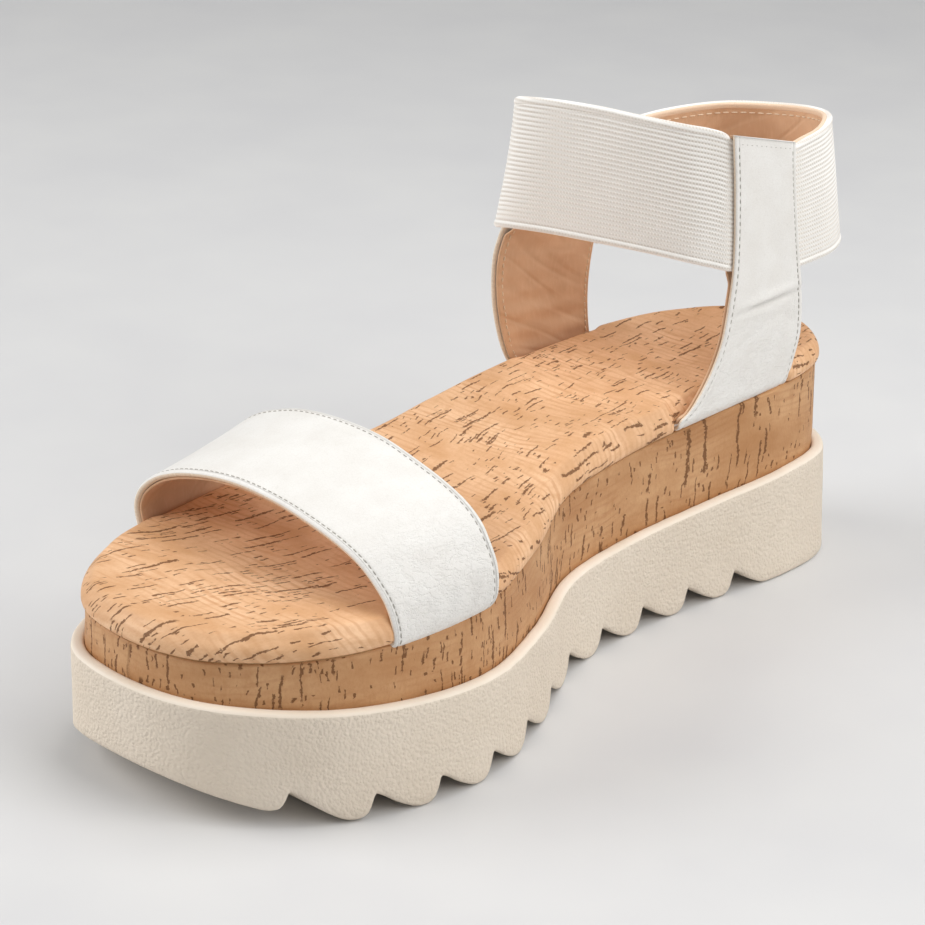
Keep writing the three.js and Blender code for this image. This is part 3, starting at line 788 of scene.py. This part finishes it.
class Ribbon:
    """A strap's outer face between two edge curves, bulging by crown over its middle line."""

    def __init__(self, edge_a, edge_b, outward, crown=0.0):
        dense_a, dense_b = dense_spline(edge_a), dense_spline(edge_b)
        self.length = (curve_length(dense_a) + curve_length(dense_b)) / 2
        self.steps = int(self.length / RIBBON_STEP)
        self.a = resample(dense_a, self.steps + 1)
        self.b = resample(dense_b, self.steps + 1)
        self.width = np.linalg.norm(self.b - self.a, axis=1)
        middle = (self.a + self.b) / 2
        self.crown = np.array([crown(p) if callable(crown) else crown for p in middle])[:, None]
        normal = unit(np.cross(np.gradient(middle, axis=0), self.b - self.a))
        toward = np.array([outward(p) for p in middle])
        self.normal = normal * np.sign((normal * toward).sum(axis=1))[:, None]

    def width_at(self, row):
        return np.interp(row, np.arange(self.steps + 1), self.width)

    def at(self, row, share, depth):
        """Points at the given rows, shares across (0 at edge a) and depths below the face."""
        row = np.asarray(row, float)
        low = np.clip(row.astype(int), 0, self.steps - 1)
        part = (row - low)[..., None]

        def mixed(values):
            return values[low] * (1 - part) + values[low + 1] * part
        a, b, normal = mixed(self.a), mixed(self.b), unit(mixed(self.normal))
        share = np.asarray(share, float)[..., None]
        rise = mixed(self.crown) * (1 - (2 * share - 1) ** 2)
        return a * (1 - share) + b * share + normal * (rise - np.asarray(depth)[..., None])

    def worked_depth(self, row, share, depth, push, wrinkle):
        """Depths after push (points, distance along) has moved them deeper and wrinkle
        (points, distance across) has raised them."""
        if push is not None:
            depth = depth + push(self.at(row, share, depth), row / self.steps * self.length)
        if wrinkle is not None:
            depth = depth - wrinkle(self.at(row, share, depth), share * self.width_at(row))
        return depth


def strap_section(width, thickness, groove):
    """A closed cross-section as (distance across, depth): rounded edges, stitched-down lines."""
    radius = thickness / 2
    turn = np.linspace(0, math.pi, 9)
    left = [(radius - radius * math.sin(t), radius + radius * math.cos(t)) for t in turn]
    spots = [radius + 0.25, 1.1, 1.35, 1.55, STITCH_LINE, 1.95, 2.2, 2.6, 3.4]
    spots = [s for s in spots if s < width / 2]
    middle = list(np.linspace(spots[-1], width - spots[-1], 16))[1:-1]
    outer = []
    for s in [*spots, *middle, *[width - s for s in reversed(spots)]]:
        edge = min(s, width - s)
        outer.append((s, groove * math.exp(-((edge - STITCH_LINE) / 0.32) ** 2)))
    right = [(width - x, z) for x, z in reversed(left)]
    back = [(s, thickness) for s in np.linspace(width - radius - 0.3, radius + 0.3, 12)]
    turn_at = len(left) + len(outer)
    cut = [*range(0, 5), *range(turn_at + 3, turn_at + 9)]
    return left + outer + right + back, cut


def build_strip(name, ribbon, material, thickness, depth, trim=0.0, groove=0.22,
                wrinkle=None, start=0.0, end=1.0, push=None, ribs=None, cut_edge=None,
                turned=False):
    """Sweeps a cross-section along a ribbon. trim pulls in the edges; ribs is another function
    for the cross-section; turned swaps the flat coordinates."""
    rows = max(8, int(ribbon.steps * (end - start)))
    trim_a, trim_b = trim if isinstance(trim, tuple) else (trim, trim)
    width = float(np.median(ribbon.width)) - trim_a - trim_b
    section, cut = ribs(width, thickness) if ribs else strap_section(width, thickness, groove)
    s, d = np.array(section).T
    count = len(section)
    row_at = np.linspace(start, end, rows + 1) * ribbon.steps
    row = np.repeat(row_at[:, None], count, axis=1)
    local_width = ribbon.width_at(row)
    across = trim_a + s / width * (local_width - trim_a - trim_b)
    share = across / local_width
    along = row / ribbon.steps * ribbon.length
    deep = ribbon.worked_depth(row, share, depth + np.tile(d, (rows + 1, 1)), push, wrinkle)
    verts = ribbon.at(row, share, deep).reshape(-1, 3)
    faces = grid_faces(rows + 1, count, wrap_columns=True)
    faces.append(tuple(range(count)))
    faces.append(tuple(rows * count + i for i in reversed(range(count))))
    pair = (across, along) if turned else (along, across)
    flat = np.stack([*pair, 0 * along], axis=-1).reshape(-1, 3)
    second = None
    if cut_edge is not None:
        second = (cut_edge, [row * count + column for row in range(rows) for column in cut])
    return turn_out(make_piece(name, verts, faces, material, flat=flat, second=second))


def turn_out(piece):
    """Turns the faces outwards where a closed mesh came out inside out."""
    mesh = piece.data
    mesh.calc_loop_triangles()
    count = len(mesh.loop_triangles)
    corners = np.zeros(count * 3, dtype=np.int32)
    mesh.loop_triangles.foreach_get("vertices", corners)
    points = np.zeros(len(mesh.vertices) * 3)
    mesh.vertices.foreach_get("co", points)
    p = points.reshape(-1, 3)[corners.reshape(-1, 3)]
    if (np.cross(p[:, 0], p[:, 1]) * p[:, 2]).sum() < 0:
        mesh.flip_normals()
    return piece


def capsule(length, radius):
    """A stitch along +X: points and faces of a low round-ended rod."""
    sides = 6
    stations = [(-0.5, 0.25), (-0.42, 0.75), (-0.2, 1), (0.2, 1), (0.42, 0.75), (0.5, 0.25)]
    angles = np.arange(sides) * 2 * math.pi / sides
    points = np.array([[x * length, r * radius * math.cos(a), r * radius * math.sin(a)]
                       for x, r in stations for a in angles])
    faces = grid_faces(len(stations), sides, wrap_columns=True, flip=True)
    faces.append(tuple(range(sides)))
    faces.append(tuple((len(stations) - 1) * sides + i for i in reversed(range(sides))))
    return points, faces


def build_stitches(name, ribbon, rows_at, material, depth, start=0.0, end=1.0, wrinkle=None,
                   length=1.35, radius=0.17, cross=None, push=None, pitch=STITCH_PITCH):
    """Rows of separate stitches. rows_at lists distances in from edge a (or, if negative,
    from edge b); cross adds a row across the strap at a share of its length."""
    shape, shape_faces = capsule(length, radius)
    rng = random.Random(7)
    count = int(ribbon.length * (end - start) / pitch)
    rows = (start + (end - start) * (np.arange(count) + 0.5) / count) * ribbon.steps
    width = ribbon.width_at(rows)
    # Each run is its rows, its shares across, and a small step along it in both.
    runs = [(rows, (inset if inset > 0 else width + inset) / width, (0.4, 0)) for inset in rows_at]
    if cross is not None:
        row = cross * ribbon.steps
        width_here = float(ribbon.width_at(row))
        many = int((width_here - 4) / pitch)
        share = (2 + (width_here - 4) * (np.arange(many) + 0.5) / many) / width_here
        runs.append((np.full(many, row), share, (0, 0.02)))
    verts, faces = [], []
    for rows, share, (row_step, share_step) in runs:
        deep = ribbon.worked_depth(rows, share, np.full(len(rows), depth), push, wrinkle)
        centre = ribbon.at(rows, share, deep)
        ahead = ribbon.at(np.clip(rows + row_step, 0, ribbon.steps), share + share_step, deep)
        behind = ribbon.at(np.clip(rows - row_step, 0, ribbon.steps), share - share_step, deep)
        along = unit(ahead - behind)
        normal = ribbon.normal[rows.astype(int)]
        side = unit(np.cross(normal, along))
        for i in range(len(rows)):
            turned = along[i] + side[i] * rng.uniform(-0.05, 0.05)
            faces += [tuple(v + len(verts) * len(shape) for v in f) for f in shape_faces]
            verts.append(shape @ np.stack([turned, side[i], normal[i]]) + centre[i])
    return make_piece(name, np.vstack(verts), faces, material)


def bumps(*items):
    """Creases as a height in mm over 3-D points: (centre, direction, length, width, height)."""
    def height(points):
        total = np.zeros(points.shape[:-1])
        for centre, direction, length, width, up in items:
            offset = points - np.array(centre, float)
            direction_unit = unit(np.array(direction, float))
            run = offset @ direction_unit
            off = np.linalg.norm(offset - run[..., None] * direction_unit, axis=-1)
            total += up * np.exp(-(run / length) ** 2 - (off / width) ** 2)
        return total
    return height


def edge_fade(across, width):
    """0 at a strap's edges, 1 from 3 mm inside them."""
    return smoothstep(0, 3, across) * smoothstep(0, 3, width - across)


# Toe strap: front and rear edges, from the arch side over the foot to the outer side.
TOE_FRONT = [
    (50.5, -88.2, 44.6), (54.2, -88.4, 46.6), (54.4, -88.5, 50.5), (51.5, -88.5, 57), (46.9, -88.6, 61.8),
    (41.4, -88.8, 65.9), (34.3, -89, 69), (23.5, -89.2, 71.9), (12.6, -89.5, 74), (0, -89.8, 75),
    (-9, -90, 74.6), (-18, -90.4, 73.3), (-28, -90.7, 70.6), (-36, -91, 66.7), (-41, -91.4, 61.9),
    (-42.8, -91.6, 57), (-41.7, -91.6, 51), (-40.6, -91.4, 46.6), (-37, -91, 44.6),
]
TOE_REAR = [
    (53.5, -57, 46.4), (57.6, -57, 48.4), (60.4, -57, 51.8), (61.2, -57, 56.5), (60.2, -56.9, 62.2),
    (57.4, -56.7, 67.2), (54.3, -56.4, 71.2), (48.7, -56, 75.1), (41.2, -55.6, 78.1), (29.8, -55, 81),
    (15.5, -54.4, 83.7), (-1.4, -53.9, 83.9), (-15.5, -53.4, 82.2), (-24, -53.1, 79.8), (-33, -52.9, 76.1),
    (-39.8, -52.8, 71.4), (-44, -52.8, 65.5), (-45.4, -52.8, 58.6), (-44, -52.8, 50.6), (-39, -52.8, 47),
]


def from_foot(point):
    return np.array([point[0] - 8, 0.0, point[2] - 45])


def build_toe_strap():
    def crown(point):
        return float(np.interp(point[0], (-43, -34, -20, 0), (-0.3, -0.6, -0.1, 0.7)))
    ribbon = Ribbon(TOE_FRONT, TOE_REAR, from_foot, crown=crown)
    folds = bumps(
        ((59.5, -66, 56), (0, 0.2, 1), 7, 1.0, -0.5),
        ((59.0, -69, 58), (0, 0.1, 1), 6, 1.0, 0.3),
        ((58.5, -72, 58), (0, 0.15, 1), 8, 1.1, -0.42),
        ((57.0, -79, 56), (0, -0.1, 1), 7, 1.1, -0.45),
        ((55.5, -84, 55), (0, -0.2, 1), 6, 1.0, -0.36),
        ((60, -61, 54), (0, 0.35, 1), 5, 0.9, -0.4),
        ((58, -75, 64), (0, 1, 0.3), 6, 0.9, -0.3),
        ((59, -68, 66), (0, 1, -0.2), 5, 0.9, -0.25),
        ((-43.5, -75, 58), (0, 0.2, 1), 8, 1.6, -0.35),
    )

    def wrinkle(points, across):
        return folds(points) + 0.03 * hash_noise(points, 17.0, 21) * edge_fade(across, 35)

    def lining_wave(points, across):
        return 0.3 * hash_noise(points, 14.0, 23) * edge_fade(across, 37)
    leather = build_strip("toe_strap", ribbon, WHITE_LEATHER, TOE_LEATHER, 0.0,
                          wrinkle=wrinkle, cut_edge=CUT_EDGE)
    lining = build_strip("toe_strap_inner", ribbon, TAN_LINING, LINING, TOE_LEATHER + 0.08,
                         trim=0.6, groove=0.0, start=0.02, end=0.98, wrinkle=lining_wave)
    stitches = build_stitches("toe_strap_stitches", ribbon, (STITCH_LINE, -STITCH_LINE), GREY_THREAD,
                              STITCH_DEPTH, start=0.03, end=0.97, wrinkle=wrinkle)
    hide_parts("toe_strap_leather")
    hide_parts("toe_strap_lining")
    for piece in (leather, lining, stitches):
        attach(piece, "sole")


# Side straps: front and rear edges, from inside the seam up to the top of the collar.
ARCH_FRONT = [
    (22.5, 55.2, 56), (26.2, 54.6, 57.2), (28, 54.4, 59.8), (28.2, 58.4, 62.4), (28.3, 62.6, 66.6),
    (28.4, 67.2, 72.6), (28.8, 70.6, 80.4), (29.2, 72.3, 90.5), (29.5, 73.4, 102.3), (29.8, 72.2, 123.8),
    (30.3, 69.6, 143.1),
]
ARCH_REAR = [
    (22.8, 100.6, 58.6), (27, 101.6, 59), (28.8, 102.4, 61.2), (29.2, 103.8, 66), (29.3, 106.6, 75),
    (29.3, 106.4, 85), (29.6, 104.3, 96.5), (29.9, 101.8, 108), (30.1, 99.8, 119), (30.3, 97.6, 135.4),
]
OUTER_FRONT = [
    (-33, 55, 55.9), (-38.2, 54.6, 57.2), (-40.4, 54, 60.3), (-40.3, 50.9, 65.8), (-40.4, 48.5, 72.8),
    (-40.2, 46.2, 82.9), (-39.6, 45.6, 95.6), (-38.9, 46.8, 101.5), (-37.6, 48.6, 108),
    (-34.9, 50.8, 124), (-32.8, 52.6, 139.4),
]
OUTER_REAR = [
    (-30.5, 86.2, 57.8), (-35, 86.4, 58.8), (-37.2, 86.6, 61.4), (-37.5, 85.6, 66), (-37.6, 84.8, 76.3),
    (-37.4, 85.3, 85.6), (-36.9, 86.4, 94), (-35.8, 87.2, 102), (-35.2, 87.4, 110), (-33.8, 87.4, 130.2),
]
TILT_START_Z = 64
TILT_END_Z = 91


def build_side_strap(name, front, rear, side, folds, tuck, tuck_from, trim):
    """tuck is the room behind the lining for the bands' ends, above the height tuck_from."""
    ribbon = Ribbon(front, rear, lambda point: np.array([side, 0.0, 0.0]))
    lining_depth = LEATHER + 0.35

    def wrinkle(points, across):
        return folds(points) + 0.13 * hash_noise(points, 19.0, 31) * edge_fade(across, 33)

    def push(points, along):
        """Makes room for the ends of the elastic bands and closes the pocket at the top edge."""
        closed = smoothstep(ribbon.length - 2.3, ribbon.length - 0.7, along)
        return tuck * smoothstep(tuck_from, tuck_from + 4, points[..., 2]) * (1 - closed)

    def lining_wave(points, across):
        fine = hash_noise(points * (1, 0.6, 1.5), 10.0, 37, octaves=3)
        return folds(points) * 1.3 + 0.55 * fine * edge_fade(across, 34)
    leather = build_strip(name, ribbon, WHITE_LEATHER, LEATHER, 0.0, wrinkle=wrinkle,
                          cut_edge=CUT_EDGE)
    lining = build_strip(f"{name}_inner", ribbon, TAN_LINING, LINING, lining_depth, trim=trim,
                         groove=0.0, start=0.04, end=0.997, push=push, wrinkle=lining_wave)
    inner_stitches = build_stitches(f"{name}_inner_stitches", ribbon, (2.7, -1.9), CREAM_THREAD,
                                    lining_depth + LINING + 0.04, start=0.09, end=0.9,
                                    push=push, wrinkle=lining_wave, radius=0.26, length=1.5)
    stitches = build_stitches(f"{name}_stitches", ribbon, (STITCH_LINE, -STITCH_LINE), GREY_THREAD,
                              STITCH_DEPTH, start=0.07, end=0.97, wrinkle=wrinkle,
                              cross=0.975)
    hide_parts(f"{name}_leather", f"{name}_root_leather")
    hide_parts(f"{name}_lining", f"{name}_root_lining")
    start, end = row_point(0, HINGE_Y, TILT_START_Z), row_point(0, HINGE_Y, TILT_END_Z)
    for piece in (leather, lining, stitches, inner_stitches):
        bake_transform(piece)
        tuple(start)
        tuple(end)


def build_side_straps():
    arch_folds = bumps(
        ((29.5, 90.5, 88.3), (0, 1, 0.04), 12, 0.6, -1.9),
        ((29.5, 91, 90.4), (0, 1, 0.06), 11, 1.4, 0.85),
        ((29.5, 90, 85.6), (0, 1, -0.05), 9, 1.5, 0.35),
        ((29.5, 99, 82), (0, 1, -0.7), 6, 1.1, -0.4),
        ((29.5, 76, 82), (0, 1, 0.5), 7, 1.1, -0.4),
        ((29, 82, 79), (0, 1, 0.35), 8, 1.0, -0.3),
        ((29, 66, 64), (0, 1, 1.2), 7, 1.3, -0.4),
        ((29, 78, 66), (0, 0.4, 1), 6, 1.3, -0.35),
        ((29, 90, 68), (0, -0.2, 1), 7, 1.4, -0.35),
        ((29, 96, 72), (0, 0.1, 1), 7, 1.2, -0.32),
        ((28.4, 57, 61), (0, 1, 0.6), 4, 1.1, -0.45),
    )
    build_side_strap("arch_strap", ARCH_FRONT, ARCH_REAR, 1, arch_folds, 1.5, 97, (0.4, 1.2))
    outer_folds = bumps(
        ((-38.5, 60, 98), (0, 1, 0.28), 10, 1.0, -0.7),
        ((-38.2, 72, 101), (0, 1, 0.1), 9, 1.1, 0.5),
        ((-38.5, 60, 92), (0, 1, -0.1), 11, 1.2, 0.5),
        ((-38.8, 70, 88), (0, 1, 0.4), 9, 1.0, -0.5),
        ((-39.2, 58, 82), (0, 0.4, 1), 8, 1.2, -0.4),
        ((-39, 78, 80), (0, 0.5, 1), 7, 1.1, -0.45),
        ((-39.5, 66, 72), (0, 1, 0.6), 9, 1.3, -0.5),
        ((-39.5, 76, 68), (0, 1, 0.3), 8, 1.1, 0.45),
        ((-39.5, 60, 67), (0, 1, 0.9), 6, 1.0, -0.4),
    )
    build_side_strap("outer_strap", OUTER_FRONT, OUTER_REAR, -1, outer_folds, 2.4, 102, (0.7, 0.4))


# ---- Elastic bands ----
BAND_FRONT_TOP = [
    (28.3, 80, 135.6), (28.3, 73.6, 138.9), (27.6, 69, 143.2), (24.6, 64.6, 145), (21, 60.3, 146),
    (9, 53.2, 147.7), (-3, 48.2, 148.9), (-14, 44.2, 149.1), (-22.5, 42, 148.6), (-28, 42.1, 147.6),
    (-30.9, 44.8, 145.9), (-31.5, 49.2, 142.2), (-31.5, 52.6, 138.1), (-31.3, 56, 135.2), (-31.1, 60, 134),
]
BAND_FRONT_BOTTOM = [
    (28, 82, 100.2), (28.2, 76.4, 100.9), (27.7, 72.4, 101.6), (25.4, 68, 103.1), (22.5, 63.4, 104.6),
    (11, 55, 107.1), (-1, 48.4, 108.6), (-14.6, 42.6, 109.4), (-26.6, 38.5, 109.3),
    (-32.4, 38.7, 108.5), (-34.7, 41.8, 107.7), (-35.5, 47.2, 106.4), (-35.4, 54, 105.6),
]
BAND_HEEL_TOP = [
    (28.3, 91, 132.4), (28.7, 98, 133.6), (28.6, 104, 134.6), (27.2, 114.6, 135.5), (19.9, 127.5, 135.8),
    (6.4, 136.6, 133.4), (-9, 137.6, 131.3), (-23, 129.6, 130.4), (-31, 112, 129.8), (-32.8, 93, 129.2),
    (-32.8, 84, 128.6),
]
BAND_HEEL_BOTTOM = [
    (27.8, 97, 95.4), (28.4, 104, 95.4), (29, 110, 95.7), (29.2, 119.8, 96.5), (22, 132.9, 96.2),
    (7.2, 141.8, 94.5), (-9.8, 142.4, 92.6), (-25, 134, 91.8), (-33.6, 115.4, 91.6), (-35, 95, 91.6),
    (-35.2, 86, 91.8),
]
RIM_HEIGHT = 2.0
RIM_THICKNESS = 1.35


def rib_section(width, thickness):
    """Cross-section of woven elastic: rolled edges and a rib every RIB_PITCH."""
    radius = thickness / 2 + 0.12
    turn = np.linspace(0, math.pi, 9)
    left = [(radius - radius * math.sin(t), thickness / 2 + radius * math.cos(t)) for t in turn]
    outer = []
    for s in np.arange(radius + 0.15, width - radius - 0.1, RIB_PITCH / 7):
        edge = min(s, width - s)
        ribbed = smoothstep(1.9, 2.5, edge)
        roll = -0.15 * math.exp(-((edge - 1.0) / 0.8) ** 2) + 0.25 * math.exp(-((edge - 2.15) / 0.22) ** 2)
        rib = 0.17 * (1 - abs(math.sin(math.pi * s / RIB_PITCH)) ** 0.8) * ribbed
        outer.append((s, roll + rib))
    right = [(width - x, z) for x, z in reversed(left)]
    back = [(s, thickness) for s in np.linspace(width - radius - 0.3, radius + 0.3, 24)]
    return left + outer + right + back, []


def from_ankle(point):
    return np.array([point[0] + 2, (point[1] - 92) * 0.8, 0.0])


def build_band(name, ribbon, wave, seed):
    """An elastic band with a gentle wave of that length."""
    return build_strip(name, ribbon, WHITE_ELASTIC, ELASTIC, 0.0, ribs=rib_section,
                       wrinkle=lambda points, across: 0.12 * hash_noise(points, wave, seed))


def build_front_band():
    band = build_band("front_band", Ribbon(BAND_FRONT_BOTTOM, BAND_FRONT_TOP, from_ankle), 30.0, 41)
    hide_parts("front_elastic")
    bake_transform(band)


def build_heel_band():
    ribbon = Ribbon(BAND_HEEL_BOTTOM, BAND_HEEL_TOP, from_ankle)
    band = build_band("heel_band", ribbon, 34.0, 43)
    down = unit(ribbon.a - ribbon.b)
    rim_foot = ribbon.b + down * RIM_HEIGHT
    at_rim = Ribbon(rim_foot, BAND_HEEL_TOP, from_ankle)
    under_rim = Ribbon(BAND_HEEL_BOTTOM, rim_foot - down * 0.8, from_ankle)
    lining_depth = ELASTIC + 0.25
    lining = build_strip("heel_band_inner", under_rim, TAN_LINING, LINING, lining_depth,
                         trim=0.2, groove=0.0, start=0.05, end=0.95, turned=True,
                         wrinkle=lambda points, across: 0.15 * hash_noise(points, 16.0, 47))
    rim = build_strip("heel_band_rim", at_rim, PALE_RIM, RIM_THICKNESS, ELASTIC - 0.1,
                      groove=0.0, start=0.05, end=0.95)
    stitches = build_stitches("heel_band_stitches", under_rim, (-1.9, 2.4), CREAM_THREAD,
                              lining_depth + LINING + 0.05, start=0.06, end=0.94, length=1.9,
                              radius=0.24, pitch=3.0)
    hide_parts("heel_band_elastic")
    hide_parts("heel_band_lining")
    for piece in (band, lining, rim, stitches):
        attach(piece, "ankle_collar")


# ---- CAD pieces inside ----
def dress_inner_nodes():
    finishes = {
        "wedge_core": FOAM, "footbed_foam": FOAM, "insole_board": BOARD, "steel_shank": STEEL,
        "shank_rivet_front": STEEL, "shank_rivet_rear": STEEL,
    }
    for node, material in finishes.items():
        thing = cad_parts[node]
        thing.data.materials.clear()
        thing.data.materials.append(material)


# ---- Studio ----
def area_light(name, position, target, size, power, color=(1, 1, 1)):
    light = bpy.data.lights.new(name, "AREA")
    light.shape = "RECTANGLE"
    light.size, light.size_y = size
    light.energy = power
    light.color = color
    lamp = bpy.data.objects.new(name, light)
    bpy.context.collection.objects.link(lamp)
    lamp.location = position
    lamp.rotation_euler = (Vector(target) - Vector(position)).to_track_quat("-Z", "Y").to_euler()


def build_floor():
    """A pale floor that curves up behind the sandal. Lengths are in metres."""
    half_length, half_width, rows = 3.0, 6.0, 24
    curve_start, curve_rate = 1.6, 0.9
    away = Vector(spot(223, 0, 1))
    side = Vector(spot(133, 0, 1))
    points = []
    for k in range(rows + 1):
        run = half_length * (2 * k / rows - 1)
        rise = Vector((0, 0, curve_rate * max(0, run - curve_start) ** 2))
        points += [away * run + side * reach + rise for reach in (-half_width, half_width)]
    faces = [(2 * k, 2 * k + 1, 2 * k + 3, 2 * k + 2) for k in range(rows)]
    mesh = bpy.data.meshes.new("studio_floor")
    mesh.from_pydata(points, [], faces)
    mesh.polygons.foreach_set("use_smooth", [True] * len(mesh.polygons))
    mesh.materials.append(floor_material())
    floor = bpy.data.objects.new("studio_floor", mesh)
    bpy.context.collection.objects.link(floor)


def build_studio():
    build_floor()
    middle = (0, 0, 0.06)
    area_light("key", spot(104, 38, 1.5), middle, (1.1, 1.1), 11, (1, 0.985, 0.96))
    area_light("left", spot(-46, 32, 1.5), middle, (1.0, 1.0), 14.3, (1, 0.99, 0.975))
    area_light("top", spot(150, 72, 0.9), (0, 0.07, 0.06), (0.6, 0.6), 3.4)
    world = bpy.data.worlds.new("studio")
    world.use_nodes = True
    background = world.node_tree.nodes["Background"]
    background.inputs["Color"].default_value = (0.98, 0.99, 1, 1)
    background.inputs["Strength"].default_value = 0.3
    bpy.context.scene.view_settings.view_transform = "Standard"
    bpy.context.scene.world = world


build_outsole()
build_wrap()
build_footbed()
build_toe_strap()
build_side_straps()
build_front_band()
build_heel_band()
dress_inner_nodes()
build_studio()

bpy.context.view_layer.update()
